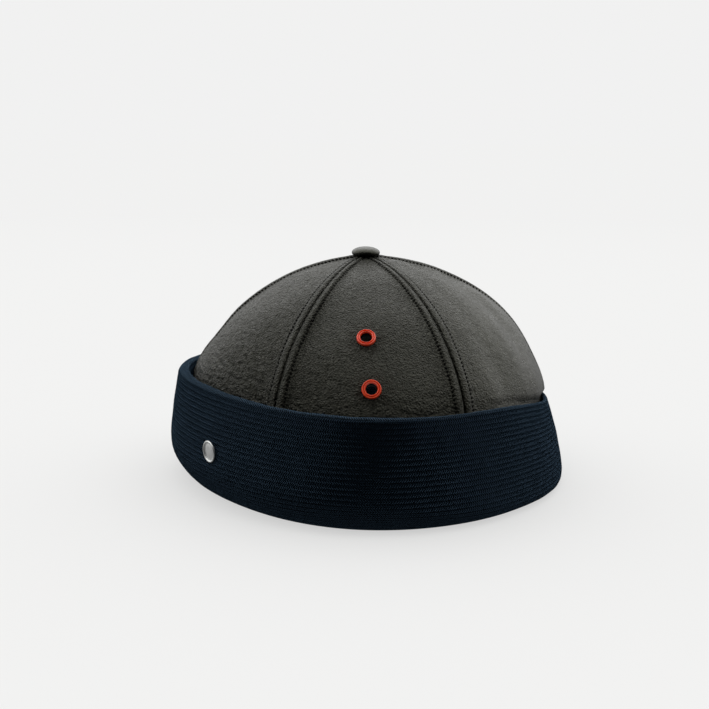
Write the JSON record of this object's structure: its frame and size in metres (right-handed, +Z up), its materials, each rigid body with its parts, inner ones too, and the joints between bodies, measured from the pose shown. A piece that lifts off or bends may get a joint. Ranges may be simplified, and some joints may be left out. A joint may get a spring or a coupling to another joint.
{
  "type": "docker cap with leather crown and folded knit cuff",
  "caption": "Brimless docker cap: domed leather crown with stitched seams, covered button, vent eyelets and a thick folded knit cuff.",
  "frame": {"origin": "middle of the base on the surface that the cuff rests on", "axes": "+Z up through the button, -X towards the front of the cap, -Y towards the panel with the eyelets"},
  "size_m": [0.2052, 0.1984, 0.1171],
  "materials": {
    "crown_leather": "satin",
    "cuff_knit": "matte",
    "eyelet_enamel": "gloss",
    "badge_silver": "satin"
  },
  "bodies": {
    "root": {"crown_panel_1": "crown_leather", "crown_panel_2": "crown_leather", "crown_panel_3": "crown_leather", "crown_panel_4": "crown_leather", "crown_panel_5": "crown_leather", "crown_panel_6": "crown_leather", "eyelet_upper": "eyelet_enamel", "eyelet_lower": "eyelet_enamel", "top_button": "crown_leather", "button_post": "badge_silver", "cuff": "cuff_knit", "badge": "badge_silver"}
  },
  "joints": []
}
